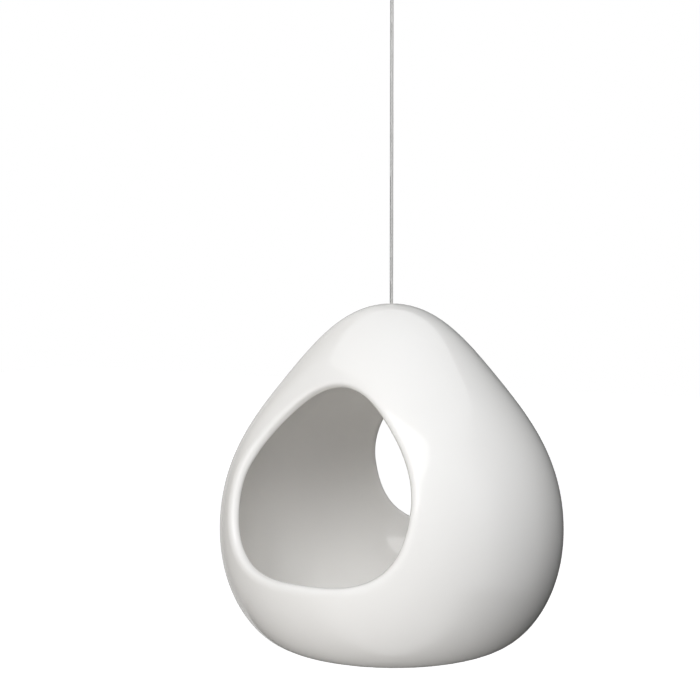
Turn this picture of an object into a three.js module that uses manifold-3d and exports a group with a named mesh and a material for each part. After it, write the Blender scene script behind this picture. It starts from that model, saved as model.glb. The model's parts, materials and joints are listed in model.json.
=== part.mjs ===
// Hanging bird feeder: a one-piece glazed shell with two mouths, hung on a steel wire with a loop.
// Millimetres, +Z up. The origin is where a hook bears inside the top of the loop.
import * as THREE from 'three';
import { mergeVertices } from 'three/addons/utils/BufferGeometryUtils.js';
import Module from 'manifold-3d';

const wasm = await Module();
wasm.setup();

// Shell, measured from its base
const SHELL_HEIGHT = 146.5;
const BELLY_RADIUS = 75;
const BELLY_LEVEL = 48.5;
const BELLY_HANDLE = 30.3;
const FOOT_RADIUS = 47.5;
const FOOT_HANDLE = 10.3;
const SHOULDER_RADIUS = 45;
const SHOULDER_DROP = 30;
const CROWN_HANDLE = 19.5;
const WALL = 5;
const CROWN_WALL = 9;
const THICKENING_START = 73;
const THICKENING_END = 111;
const FOOT_RING = 10;
const FOOT_RECESS = 1.2;
const FOOT_GRIND = 0.15;

// Mouths, alike in front and behind
const MOUTH_WIDTH = 85.8;
const SILL_LEVEL = 35.9;
const MOUTH_WIDEST_LEVEL = 68;
const MOUTH_TOP_DROP = 29.4;
const SILL_HANDLE = 18.8;
const MOUTH_SIDE_LOWER_HANDLE = 32.8;
const MOUTH_SIDE_UPPER_HANDLE = 19;
const MOUTH_TOP_HANDLE = 23.7;
const LIP_REACH = 3.8;

// Wire and its loop
const WIRE_DIAMETER = 1.5;
const FREE_WIRE = 298;
const LOOP_HEIGHT = 69;
const LOOP_WIDTH = 37;
const LOOP_WIDEST_DROP = 21;
const LOOP_TOP_HANDLE = 10;
const LOOP_SIDE_UPPER_HANDLE = 11;
const LOOP_SIDE_LOWER_HANDLE = 21;
const LOOP_NECK_HANDLE = 19;
const WIRE_STUB = 1.2;

// Crimp sleeve of the loop
const FERRULE_LENGTH = 11;
const FERRULE_WALL = 0.75;
const FERRULE_WEB = 0.4;
const FERRULE_EDGE = 0.35;
const CRIMP_SPACING = 3.2;
const CRIMP_RADIUS = 1.4;
const CRIMP_DEPTH = 0.3;

// Stop inside the crown
const CUSHION_RADIUS = 8;
const CUSHION_THICKNESS = 4;
const BACKING_RADIUS = 6;
const BACKING_THICKNESS = 1;
const BACKING_EDGE = 0.2;
const STOP_RADIUS = 2.5;
const STOP_LENGTH = 8;
const STOP_EDGE = 0.4;
const STOP_WAIST_RADIUS = 2.15;
const STOP_WAIST_LENGTH = 4;

// Clearances
const GAP = 0.3;
const SEAT_GAP = 0.5;
const HOLE_PLAY = 1;
const HOLE_EASE = 0.8;

// Fineness of the facets
const MOUTH_STEPS = 64;
const OUTER_SPANS = 22;
const INNER_SPANS = 18;
const LIP_SPANS = 6;
const TURN_STEPS = 32;
const WIRE_SIDES = 8;
const LOOP_STEPS = 46;
const ARC_SPANS = 4;
const HALVINGS = 40;
const ANGLE_STEP = 1e-3;
const CUT_MARGIN = 5;

// Worked-out places
const WIRE_RADIUS = WIRE_DIAMETER / 2;
const WIRE_BORE = WIRE_RADIUS + GAP;
const BARREL_PITCH = 2 * WIRE_BORE + FERRULE_WEB;
const FERRULE_HALF_THICKNESS = WIRE_BORE + FERRULE_WALL;
const FERRULE_TOP = WIRE_DIAMETER - LOOP_HEIGHT;
const FERRULE_BOTTOM = FERRULE_TOP - FERRULE_LENGTH;
const WIRE_SPLIT = (FERRULE_TOP + FERRULE_BOTTOM) / 2;
const CROWN_LEVEL = FERRULE_BOTTOM - FREE_WIRE;
const HOLE_RADIUS = WIRE_RADIUS + HOLE_PLAY;
const MOUTH_TOP = SHELL_HEIGHT - MOUTH_TOP_DROP;
const MOUTH_MIDDLE = (SILL_LEVEL + MOUTH_TOP) / 2;
const INNER_CROWN = SHELL_HEIGHT - CROWN_WALL;
const CUSHION_BOTTOM = INNER_CROWN - SEAT_GAP - CUSHION_THICKNESS;
const BACKING_TOP = CUSHION_BOTTOM - GAP;
const STOP_TOP = BACKING_TOP - BACKING_THICKNESS - GAP;
const TAIL_BOTTOM = STOP_TOP - STOP_LENGTH - WIRE_STUB;
const TAIL_TOP = SHELL_HEIGHT - WIRE_RADIUS - GAP;

const at = (x, y) => new THREE.Vector2(x, y);
const inLoopPlane = (x, z) => new THREE.Vector3(x, 0, z);

// A closed geometry as a solid that can be cut
function solidOf(geometry) {
  const bare = geometry.clone();
  bare.deleteAttribute('normal');
  bare.deleteAttribute('uv');
  const merged = mergeVertices(bare);
  return new wasm.Manifold(new wasm.Mesh({
    numProp: 3,
    vertProperties: merged.attributes.position.array,
    triVerts: Uint32Array.from(merged.index.array),
  }));
}

// A solid as a geometry again
function geometryOf(solid) {
  const mesh = solid.getMesh();
  const geometry = new THREE.BufferGeometry();
  geometry.setAttribute('position', new THREE.BufferAttribute(mesh.vertProperties, 3));
  geometry.setIndex(new THREE.BufferAttribute(mesh.triVerts, 1));
  geometry.computeVertexNormals();
  return geometry;
}

// A profile of radius and level, turned about the vertical axis
function turned(points, steps = TURN_STEPS) {
  return new THREE.LatheGeometry(points, steps).rotateX(Math.PI / 2);
}

// Points of a quarter round, from one angle to the next in degrees
function quarterRound(x, y, radius, from, to) {
  const arc = new THREE.EllipseCurve(
    x, y, radius, radius, THREE.MathUtils.degToRad(from), THREE.MathUtils.degToRad(to), to < from,
  );
  return arc.getPoints(ARC_SPANS);
}

// Outer profile of the shell before its foot is ground: flat foot, full belly, straighter shoulder and
// round crown.
// The two upper curves share one pull at the shoulder, halved on each side, so they meet smoothly.
function shellProfile() {
  const foot = at(FOOT_RADIUS, -FOOT_GRIND);
  const belly = at(BELLY_RADIUS, BELLY_LEVEL);
  const aboveBelly = at(BELLY_RADIUS, BELLY_LEVEL + BELLY_HANDLE);
  const shoulder = at(SHOULDER_RADIUS, SHELL_HEIGHT - SHOULDER_DROP);
  const besideCrown = at(CROWN_HANDLE, SHELL_HEIGHT);
  const belowShoulder = aboveBelly.clone().lerp(shoulder, 0.5);
  const aboveShoulder = shoulder.clone().lerp(besideCrown, 0.5);
  const meeting = belowShoulder.clone().lerp(aboveShoulder, 0.5);
  const profile = new THREE.CurvePath();
  profile.add(new THREE.LineCurve(at(0, -FOOT_GRIND), foot));
  profile.add(new THREE.CubicBezierCurve(
    foot,
    at(FOOT_RADIUS + FOOT_HANDLE, -FOOT_GRIND),
    at(BELLY_RADIUS, BELLY_LEVEL - BELLY_HANDLE),
    belly,
  ));
  profile.add(new THREE.CubicBezierCurve(belly, aboveBelly, belowShoulder, meeting));
  profile.add(new THREE.CubicBezierCurve(meeting, aboveShoulder, besideCrown, at(0, SHELL_HEIGHT)));
  return profile;
}

const PROFILE = shellProfile();

// Thickness of the wall, which grows from the belly to the crown, where the wire pulls
function thicknessAt(level) {
  const share = THREE.MathUtils.smoothstep(level, THICKENING_START, THICKENING_END);
  return THREE.MathUtils.lerp(WALL, CROWN_WALL, share);
}

// A point of the profile, its outward normal, the wall's thickness and the point behind it on the inside,
// at a share of the way from foot to crown
function profileAt(share) {
  const point = PROFILE.getPoint(share);
  const along = PROFILE.getTangent(share);
  const normal = at(along.y, -along.x);
  const thickness = thicknessAt(point.y);
  const inner = point.clone().addScaledVector(normal, -thickness);
  return { point, normal, thickness, inner };
}

// The share of the profile at which a test stops being true
function shareWhere(stillTrue) {
  let low = 0;
  let high = 1;
  for (let i = 0; i < HALVINGS; i += 1) {
    const middle = (low + high) / 2;
    if (stillTrue(middle)) low = middle;
    else high = middle;
  }
  return low;
}

// Direction from the middle of the mouths: side turns around the mouth axis, lean tips along it
function wallDirection(side, lean) {
  return new THREE.Vector3(
    Math.cos(lean) * Math.cos(side), Math.sin(lean), Math.cos(lean) * Math.sin(side),
  );
}

// The wall where a direction from the middle of the mouths meets its outside
function wallAt(side, lean) {
  const direction = wallDirection(side, lean);
  const rise = Math.atan2(direction.z, Math.hypot(direction.x, direction.y));
  const turn = Math.atan2(direction.y, direction.x);
  const share = shareWhere((middle) => {
    const point = PROFILE.getPoint(middle);
    return Math.atan2(point.y - MOUTH_MIDDLE, point.x) < rise;
  });
  const { point, normal, thickness, inner } = profileAt(share);
  const around = (flat) => new THREE.Vector3(flat.x * Math.cos(turn), flat.x * Math.sin(turn), flat.y);
  return { point: around(point), normal: around(normal), thickness, inner: around(inner) };
}

// Outline of a mouth seen square on, from the middle of the sill round to the start again
function mouthOutline() {
  const half = MOUTH_WIDTH / 2;
  const outline = new THREE.CurvePath();
  const widestBelow = MOUTH_WIDEST_LEVEL - MOUTH_SIDE_LOWER_HANDLE;
  const widestAbove = MOUTH_WIDEST_LEVEL + MOUTH_SIDE_UPPER_HANDLE;
  outline.add(new THREE.CubicBezierCurve(
    at(0, SILL_LEVEL), at(SILL_HANDLE, SILL_LEVEL), at(half, widestBelow), at(half, MOUTH_WIDEST_LEVEL),
  ));
  outline.add(new THREE.CubicBezierCurve(
    at(half, MOUTH_WIDEST_LEVEL), at(half, widestAbove), at(MOUTH_TOP_HANDLE, MOUTH_TOP), at(0, MOUTH_TOP),
  ));
  outline.add(new THREE.CubicBezierCurve(
    at(0, MOUTH_TOP), at(-MOUTH_TOP_HANDLE, MOUTH_TOP), at(-half, widestAbove), at(-half, MOUTH_WIDEST_LEVEL),
  ));
  outline.add(new THREE.CubicBezierCurve(
    at(-half, MOUTH_WIDEST_LEVEL), at(-half, widestBelow), at(-SILL_HANDLE, SILL_LEVEL), at(0, SILL_LEVEL),
  ));
  return outline;
}

// How far the wall leans towards a mouth before it meets the outline
function leanAtOutline(side, reach) {
  let low = 0;
  let high = Math.PI / 2;
  for (let i = 0; i < HALVINGS; i += 1) {
    const middle = (low + high) / 2;
    const { point } = wallAt(side, middle);
    if (Math.hypot(point.x, point.z - MOUTH_MIDDLE) > reach) low = middle;
    else high = middle;
  }
  return low;
}

// Half-round lip that closes the wall, from outside to inside and without its two end points
function lipPoints(wall, towardsMouth) {
  const points = [];
  for (let k = 1; k < LIP_SPANS; k += 1) {
    const angle = (Math.PI * k) / LIP_SPANS;
    const depth = (wall.thickness / 2) * (1 - Math.cos(angle));
    points.push(wall.point.clone()
      .addScaledVector(towardsMouth, LIP_REACH * Math.sin(angle))
      .addScaledVector(wall.normal, -depth));
  }
  return points;
}

// Closed section of the wall at one point of the mouth outline: over the outside from the front lip to
// the back lip, round the back lip, along the inside to the front again and round the front lip
function wallSection(outlinePoint) {
  const side = Math.atan2(outlinePoint.y - MOUTH_MIDDLE, outlinePoint.x);
  const reach = Math.hypot(outlinePoint.x, outlinePoint.y - MOUTH_MIDDLE);
  const outlineLean = leanAtOutline(side, reach);
  const tip = wallAt(side, outlineLean).point;
  const beforeTip = wallAt(side, outlineLean - ANGLE_STEP).point;
  const lean = outlineLean - (LIP_REACH * ANGLE_STEP) / tip.distanceTo(beforeTip);
  const towardsBack = tip.clone().sub(beforeTip).normalize();
  const towardsFront = towardsBack.clone().setY(-towardsBack.y);
  const outside = [];
  for (let j = 0; j <= OUTER_SPANS; j += 1) {
    outside.push(wallAt(side, lean * ((2 * j) / OUTER_SPANS - 1)).point);
  }
  const inside = [];
  for (let j = 0; j <= INNER_SPANS; j += 1) {
    inside.push(wallAt(side, lean * (1 - (2 * j) / INNER_SPANS)).inner);
  }
  return [
    ...outside,
    ...lipPoints(wallAt(side, lean), towardsBack),
    ...inside,
    ...lipPoints(wallAt(side, -lean), towardsFront).reverse(),
  ];
}

// The wall as one skin, its sections joined around both mouths
function lofted(sections) {
  const count = sections.length;
  const size = sections[0].length;
  const positions = sections.flat().flatMap((p) => [p.x, p.y, p.z]);
  const faces = [];
  for (let i = 0; i < count; i += 1) {
    const next = (i + 1) % count;
    for (let j = 0; j < size; j += 1) {
      const after = (j + 1) % size;
      const a = i * size + j;
      const b = next * size + j;
      const c = next * size + after;
      const d = i * size + after;
      faces.push(a, c, b, a, d, c);
    }
  }
  const geometry = new THREE.BufferGeometry();
  geometry.setAttribute('position', new THREE.Float32BufferAttribute(positions, 3));
  geometry.setIndex(faces);
  return geometry;
}

// Cutter for the hole that the wire passes, with eased edges outside and inside
function holeCutter() {
  const wide = HOLE_RADIUS + HOLE_EASE;
  return turned([
    at(0, INNER_CROWN - CUT_MARGIN),
    at(wide, INNER_CROWN - CUT_MARGIN),
    ...quarterRound(wide, INNER_CROWN + HOLE_EASE, HOLE_EASE, 270, 180),
    ...quarterRound(wide, SHELL_HEIGHT - HOLE_EASE, HOLE_EASE, 180, 90),
    at(wide, SHELL_HEIGHT + CUT_MARGIN),
    at(0, SHELL_HEIGHT + CUT_MARGIN),
  ]);
}

// Cutter that grinds the foot ring flat at the base and leaves a shallow hollow inside it
function footCutter() {
  const radius = FOOT_RADIUS - FOOT_RING;
  return turned([
    at(0, -CUT_MARGIN),
    at(BELLY_RADIUS, -CUT_MARGIN),
    at(BELLY_RADIUS, 0),
    at(radius, 0),
    at(radius, FOOT_RECESS),
    at(0, FOOT_RECESS),
  ]);
}

function shell() {
  const outline = mouthOutline().getSpacedPoints(MOUTH_STEPS).slice(0, MOUTH_STEPS);
  const wall = solidOf(lofted(outline.map(wallSection)));
  return geometryOf(wall.subtract(solidOf(holeCutter())).subtract(solidOf(footCutter())));
}

// Straight stretch of the wire, with a round lower end where it flexes in the crown's hole
function hangerWire() {
  return turned([
    ...quarterRound(0, CROWN_LEVEL, WIRE_RADIUS, -90, 0),
    at(WIRE_RADIUS, WIRE_SPLIT),
    at(0, WIRE_SPLIT),
  ], WIRE_SIDES);
}

// Route of the wire through one barrel of the sleeve, round the teardrop loop and into the other barrel
function loopRoute() {
  const half = (LOOP_WIDTH - WIRE_DIAMETER) / 2;
  const widest = WIRE_DIAMETER - LOOP_WIDEST_DROP;
  const top = inLoopPlane(0, WIRE_RADIUS);
  const start = inLoopPlane(0, FERRULE_TOP);
  const end = inLoopPlane(BARREL_PITCH, FERRULE_TOP);
  const left = inLoopPlane(-half, widest);
  const right = inLoopPlane(half, widest);
  const beside = (point, x, z) => point.clone().add(inLoopPlane(x, z));
  const route = new THREE.CurvePath();
  route.add(new THREE.LineCurve3(inLoopPlane(0, WIRE_SPLIT + GAP), start));
  route.add(new THREE.CubicBezierCurve3(
    start, beside(start, 0, LOOP_NECK_HANDLE), beside(left, 0, -LOOP_SIDE_LOWER_HANDLE), left,
  ));
  route.add(new THREE.CubicBezierCurve3(
    left, beside(left, 0, LOOP_SIDE_UPPER_HANDLE), beside(top, -LOOP_TOP_HANDLE, 0), top,
  ));
  route.add(new THREE.CubicBezierCurve3(
    top, beside(top, LOOP_TOP_HANDLE, 0), beside(right, 0, LOOP_SIDE_UPPER_HANDLE), right,
  ));
  route.add(new THREE.CubicBezierCurve3(
    right, beside(right, 0, -LOOP_SIDE_LOWER_HANDLE), beside(end, 0, LOOP_NECK_HANDLE), end,
  ));
  route.add(new THREE.LineCurve3(end, inLoopPlane(BARREL_PITCH, FERRULE_BOTTOM - WIRE_STUB)));
  return route;
}

function hangerLoop() {
  const section = new THREE.Shape();
  section.absarc(0, 0, WIRE_RADIUS, 0, 2 * Math.PI);
  return new THREE.ExtrudeGeometry(section, {
    steps: LOOP_STEPS,
    curveSegments: WIRE_SIDES / 2,
    extrudePath: loopRoute(),
  });
}

// Two-barrel sleeve, pressed flat in two bands across its front and back
function loopFerrule() {
  const half = BARREL_PITCH / 2;
  const outline = new THREE.Shape();
  outline.absarc(half, 0, FERRULE_HALF_THICKNESS, -Math.PI / 2, Math.PI / 2);
  outline.absarc(-half, 0, FERRULE_HALF_THICKNESS, Math.PI / 2, (3 * Math.PI) / 2);
  const blank = new THREE.ExtrudeGeometry(outline, {
    depth: FERRULE_LENGTH - 2 * FERRULE_EDGE,
    curveSegments: WIRE_SIDES,
    bevelThickness: FERRULE_EDGE,
    bevelSize: FERRULE_EDGE,
    bevelOffset: -FERRULE_EDGE,
    bevelSegments: 2,
  }).translate(half, 0, FERRULE_BOTTOM + FERRULE_EDGE);
  let sleeve = solidOf(blank);
  for (const x of [0, BARREL_PITCH]) {
    const bore = turned([
      at(0, FERRULE_BOTTOM - CUT_MARGIN),
      at(WIRE_BORE, FERRULE_BOTTOM - CUT_MARGIN),
      at(WIRE_BORE, FERRULE_TOP + CUT_MARGIN),
      at(0, FERRULE_TOP + CUT_MARGIN),
    ], 2 * WIRE_SIDES).translate(x, 0, 0);
    sleeve = sleeve.subtract(solidOf(bore));
  }
  const reach = FERRULE_HALF_THICKNESS - CRIMP_DEPTH + CRIMP_RADIUS;
  const width = BARREL_PITCH + 2 * FERRULE_HALF_THICKNESS + CUT_MARGIN;
  for (const face of [-1, 1]) {
    for (const band of [-0.5, 0.5]) {
      const press = new THREE.CylinderGeometry(CRIMP_RADIUS, CRIMP_RADIUS, width, TURN_STEPS)
        .rotateZ(Math.PI / 2)
        .translate(half, face * reach, WIRE_SPLIT + band * CRIMP_SPACING);
      sleeve = sleeve.subtract(solidOf(press));
    }
  }
  return geometryOf(sleeve);
}

// Stretch of the wire inside the shell, from just under the flexing end to its cut end
function wireTail() {
  return turned([
    at(0, TAIL_BOTTOM), at(WIRE_RADIUS, TAIL_BOTTOM), at(WIRE_RADIUS, TAIL_TOP), at(0, TAIL_TOP),
  ], WIRE_SIDES);
}

// Rubber washer, domed to the inside of the crown
function cushionWasher() {
  const seatAt = (share) => profileAt(share).inner.sub(at(0, SEAT_GAP));
  const rimShare = shareWhere((share) => {
    const seat = seatAt(share);
    return seat.y < CUSHION_BOTTOM || seat.x > CUSHION_RADIUS;
  });
  const boreShare = shareWhere((share) => share < rimShare || seatAt(share).x > WIRE_BORE);
  const dome = [];
  for (let k = 0; k <= ARC_SPANS; k += 1) {
    dome.push(seatAt(THREE.MathUtils.lerp(rimShare, boreShare, k / ARC_SPANS)));
  }
  const corner = at(WIRE_BORE, CUSHION_BOTTOM);
  return turned([corner, at(dome[0].x, CUSHION_BOTTOM), ...dome, corner.clone()]);
}

// Flat steel washer with its outer edges broken
function backingWasher() {
  const bottom = BACKING_TOP - BACKING_THICKNESS;
  return turned([
    at(WIRE_BORE, bottom),
    at(BACKING_RADIUS - BACKING_EDGE, bottom),
    at(BACKING_RADIUS, bottom + BACKING_EDGE),
    at(BACKING_RADIUS, BACKING_TOP - BACKING_EDGE),
    at(BACKING_RADIUS - BACKING_EDGE, BACKING_TOP),
    at(WIRE_BORE, BACKING_TOP),
    at(WIRE_BORE, bottom),
  ]);
}

// Round sleeve pressed onto the wire's lower end, narrower where it was pressed
function stopFerrule() {
  const bottom = STOP_TOP - STOP_LENGTH;
  const middle = STOP_TOP - STOP_LENGTH / 2;
  const waist = STOP_WAIST_LENGTH / 2;
  const slope = STOP_RADIUS - STOP_WAIST_RADIUS;
  return turned([
    at(WIRE_BORE, bottom),
    ...quarterRound(STOP_RADIUS - STOP_EDGE, bottom + STOP_EDGE, STOP_EDGE, -90, 0),
    at(STOP_RADIUS, middle - waist - slope),
    at(STOP_WAIST_RADIUS, middle - waist),
    at(STOP_WAIST_RADIUS, middle + waist),
    at(STOP_RADIUS, middle + waist + slope),
    ...quarterRound(STOP_RADIUS - STOP_EDGE, STOP_TOP - STOP_EDGE, STOP_EDGE, 0, 90),
    at(WIRE_BORE, STOP_TOP),
    at(WIRE_BORE, bottom),
  ]);
}

const FINISHES = {
  glaze: { color: 0xeeeeea, roughness: 0.12, metalness: 0 },
  steel: { color: 0xb4b5b6, roughness: 0.32, metalness: 1 },
  aluminium: { color: 0xc3c4c4, roughness: 0.4, metalness: 1 },
  rubber: { color: 0x4b4c4d, roughness: 0.8, metalness: 0 },
};

function piece(name, geometry, finish) {
  const mesh = new THREE.Mesh(geometry, new THREE.MeshStandardMaterial(FINISHES[finish]));
  mesh.name = name;
  return mesh;
}

// What stays with the hook
const hanger = new THREE.Group();
hanger.add(piece('hanger_loop', hangerLoop(), 'steel'));
hanger.add(piece('loop_ferrule', loopFerrule(), 'aluminium'));
hanger.add(piece('hanger_wire', hangerWire(), 'steel'));

// What hangs below the crown's hole, built up from the shell's base
const hung = new THREE.Group();
hung.position.z = CROWN_LEVEL - SHELL_HEIGHT;
hung.add(piece('shell', shell(), 'glaze'));
hung.add(piece('wire_tail', wireTail(), 'steel'));
hung.add(piece('cushion_washer', cushionWasher(), 'rubber'));
hung.add(piece('backing_washer', backingWasher(), 'steel'));
hung.add(piece('stop_ferrule', stopFerrule(), 'aluminium'));

const feeder = new THREE.Group();
feeder.add(hanger, hung);

export default feeder;
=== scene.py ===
import json
import math

import bpy
import numpy as np
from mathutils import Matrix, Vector, kdtree


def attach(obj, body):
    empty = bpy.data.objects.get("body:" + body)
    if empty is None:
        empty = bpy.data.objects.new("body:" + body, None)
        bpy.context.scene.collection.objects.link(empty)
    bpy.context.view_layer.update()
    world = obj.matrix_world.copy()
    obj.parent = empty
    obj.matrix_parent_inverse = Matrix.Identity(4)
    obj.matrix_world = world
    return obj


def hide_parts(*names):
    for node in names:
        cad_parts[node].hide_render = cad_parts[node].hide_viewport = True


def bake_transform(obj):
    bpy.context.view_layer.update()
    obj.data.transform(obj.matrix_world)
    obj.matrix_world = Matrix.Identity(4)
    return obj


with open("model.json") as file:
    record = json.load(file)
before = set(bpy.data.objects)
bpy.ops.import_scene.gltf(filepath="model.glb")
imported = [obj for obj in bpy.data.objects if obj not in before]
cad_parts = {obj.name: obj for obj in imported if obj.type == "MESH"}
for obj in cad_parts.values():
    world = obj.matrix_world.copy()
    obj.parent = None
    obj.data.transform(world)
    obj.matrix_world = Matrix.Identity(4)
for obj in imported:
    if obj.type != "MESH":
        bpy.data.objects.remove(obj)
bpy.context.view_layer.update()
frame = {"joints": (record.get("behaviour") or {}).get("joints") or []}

# Sizes are in millimetres, and levels of the shell are measured from its base
MM = 0.001
CROWN = frame["joints"][0]["pos_m"][2] / MM

# Shell
SHELL_HEIGHT = 146.5
BASE = CROWN - SHELL_HEIGHT
BELLY_RADIUS = 75
BELLY_LEVEL = 48.5
BELLY_HANDLE = 30.3
FOOT_RADIUS = 47.5
FOOT_HANDLE = 10.3
SHOULDER_RADIUS = 45
SHOULDER_DROP = 30
CROWN_HANDLE = 19.5
WALL = 5
CROWN_WALL = 9
THICKENING_START = 73
THICKENING_END = 111
FOOT_RING = 10
FOOT_RECESS = 1.2
FOOT_SOFTENING = 0.5

# Mouths
MOUTH_WIDTH = 85.8
SILL_LEVEL = 35.9
MOUTH_WIDEST_LEVEL = 68
MOUTH_DROP = 29.4
MOUTH_TOP = SHELL_HEIGHT - MOUTH_DROP
SILL_HANDLE = 18.8
MOUTH_SIDE_LOWER_HANDLE = 32.8
MOUTH_SIDE_UPPER_HANDLE = 19
MOUTH_TOP_HANDLE = 23.7
MOUTH_MIDDLE = (SILL_LEVEL + MOUTH_TOP) / 2

# Lips: where the wall is thicker than its lip, it thins towards the lip and turns in
LIP_REACH = 3.8
LIP_FULLNESS = 0.8
LIP_THICKEST = 5.2
LIP_TAPER_START = 0.5
LIP_BEND = 3.6
LIP_BEND_START = 0.75

# Hole in the crown
HOLE_RADIUS = 1.75
HOLE_EASE = 0.8

# Rope: six strands laid round a core
ROPE_RADIUS = 0.75
STRANDS = 6
STRAND_RADIUS = 0.25
LAY_LENGTH = 10
POINTS_PER_LAY = 12

# Loop at the rope's upper end, whose top bears on a hook at the origin
LOOP_HEIGHT = 69
LOOP_HALF_WIDTH = 17.75
LOOP_WIDEST = -19.5
LOOP_TOP_HANDLE = 10
LOOP_SIDE_UPPER_HANDLE = 11
LOOP_SIDE_LOWER_HANDLE = 21
LOOP_NECK_HANDLE = 19
CUT_END = 1.2

# Crimped sleeve of the loop
SLEEVE_TOP = 2 * ROPE_RADIUS - LOOP_HEIGHT
SLEEVE_LENGTH = 11
SLEEVE_BOTTOM = SLEEVE_TOP - SLEEVE_LENGTH
BARREL_PITCH = 2.5
BARREL_RADIUS = 1.8
SLEEVE_BORE = 0.79
SLEEVE_EDGE = 0.3
SLEEVE_EDGE_SPANS = 3
SLEEVE_EDGE_ANGLE = 50
CRIMP_DROPS = (3.9, 7.1)
CRIMP_HALF_WIDTH = 1
CRIMP_LEVELS = 9
CRIMP_SQUEEZE = 0.17
CRIMP_SPREAD = 0.03

# Stop under the crown, measured down from the crown's inside
INNER_CROWN = CROWN - CROWN_WALL
CUSHION_RADIUS = 8
CUSHION_SEAT = 0.1
CUSHION_BOTTOM = 4.75
CUSHION_EDGE = 0.5
CUSHION_TOP_TURN = 60
CUSHION_TOP_POINTS = 12
WASHER_RADIUS = 6
WASHER_TOP = 4.8
WASHER_BOTTOM = 5.95
WASHER_EDGE = 0.2
STOP_TOP = 6
STOP_BOTTOM = 14.1
STOP_RADIUS = 2.5
STOP_EDGE = 0.4
STOP_WAIST = 0.35
STOP_WAIST_LENGTH = 4
STOP_WAIST_POINTS = 17
ROPE_END = 15.3
CLOSE_BORE = 0.8

# Fineness of the meshes, and the angles in degrees up to which edges are shaded smooth
PROFILE_STEPS = 400
OUTLINE_STEPS = 400
STATIONS = 200
OUTER_SPANS = 72
INNER_SPANS = 60
LIP_SPANS = 28
HALVINGS = 40
LEAN_STEP = 1e-3
CUT_MARGIN = 4
TURN_STEPS = 48
ARC_SPANS = 6
SMALL_ARC_SPANS = 3
MERGE_WITHIN = 0.001
MOULDED_SMOOTHING = 40
ROPE_SMOOTHING = 60
METAL_SMOOTHING = 35

# View: the photograph is a square of this many pixels, and the shell's middle lands on SHELL_PIXEL
FRAME_SIDE = 700
SENSOR = 36
SHELL_PIXEL = (391.1, 466.4)
FOCAL_PIXELS = 1301
VIEW_AZIMUTH = 29.95
VIEW_ELEVATION = 8.28
VIEW_DISTANCE = 573.6
SHELL_MIDDLE_LEVEL = 75
SHELL_MIDDLE = Vector((0, 0, BASE + SHELL_MIDDLE_LEVEL)) * MM

# Finish of the glaze
GLAZE_PALE = (0.885, 0.87, 0.845)
GLAZE_DEEP = (0.868, 0.852, 0.826)
GLAZE_SMOOTH = 0.04
GLAZE_MATT = 0.07
GLAZE_WAVES = 0.03
GLAZE_IOR = 1.5
BARE_PALE = (0.74, 0.7, 0.63)
BARE_DEEP = (0.6, 0.55, 0.48)
BARE_ROUGHNESS = 0.75
GROUND_EDGE = 0.15

# Finish of the wire, with painted shade in the grooves: the tone goes from groove to strand between two
# shares of the rope's radius
STRAND_PALE = (0.77, 0.77, 0.76)
STRAND_DEEP = (0.66, 0.66, 0.65)
# Painted shade: darker tones for the grooves between the strands
GROOVE_SHADE_PALE = (0.42, 0.42, 0.41)
GROOVE_SHADE_DEEP = (0.3, 0.3, 0.29)
CREST_START = 0.55
CREST_END = 0.98

# Spread of the noise in clouds and grain
CLOUD_LOW = 0.32
CLOUD_HIGH = 0.68
GRAIN_LOW = 0.3
GRAIN_HIGH = 0.7

# Studio
FLOOR_DROP = 450
FLOOR_SIDE = 12000
FLOOR_TONE = 0.34
FLOOR_ROUGHNESS = 0.9
SHADOW_NEAR = 250
SHADOW_FAR = 900
SHADOW_GLOW = 0.6
AMBIENT = 0.02
CARD_RADIUS = 900
CARD_TOP = 450
CARD_LIFT = 20
CARD_SIDES = 128

# Lamps: degrees to the right of the camera, degrees up, width, height, watts and tint
LAMP_DISTANCE = 1000
LAMP_SIDE = 550
KEY_WIDTH = 900
COOL = (0.965, 0.98, 1)
WARM = (1, 0.98, 0.95)
LAMPS = {
    "key_softbox": (-2, 30, KEY_WIDTH, LAMP_SIDE, 8.1, COOL),
    "front_fill": (-20, 0, LAMP_SIDE, LAMP_SIDE, 0.6, COOL),
    "low_front": (-25, -35, LAMP_SIDE, LAMP_SIDE, 2.2, WARM),
    "low_fill": (-50, -35, LAMP_SIDE, LAMP_SIDE, 6.4, WARM),
    "left_fill": (-110, 20, LAMP_SIDE, LAMP_SIDE, 0.6, WARM),
    "rear_left": (-140, 25, LAMP_SIDE, LAMP_SIDE, 6.6, WARM),
    "top_right": (75, 65, LAMP_SIDE, LAMP_SIDE, 3.4, COOL),
    "rear_right": (130, 25, LAMP_SIDE, LAMP_SIDE, 0.5, WARM),
}

# Tones of the reflected cards, by degrees to the right of the camera
WALL_TONES = {
    0: 1, 60: 1, 78: 0.42, 105: 0.2,
    118: 0, 155: 0, 175: 0.1, 192: 0.5,
    205: 0.5, 216: 0.15, 245: 0.1, 262: 0,
    300: 0.05, 318: 0.1, 333: 1, 360: 1,
}
SHEET_TONES = {0: 1, 40: 1, 62: 0, 298: 0, 320: 1, 360: 1}

# Panel that makes the highlight: degrees to the right, degrees up and distance
PANEL_PLACE = (-4, 38, 850)
PANEL_WIDTH = 640
PANEL_HEIGHT = 570
PANEL_GLOW = 3


def bezier(start, leave, arrive, end, steps):
    """Points of one cubic curve, with its end left out."""
    share = np.linspace(0, 1, steps, endpoint=False)[:, None]
    rest = 1 - share
    start, leave, arrive, end = map(np.array, (start, leave, arrive, end))
    return rest**3 * start + 3 * rest**2 * share * leave + 3 * rest * share**2 * arrive + share**3 * end


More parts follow.
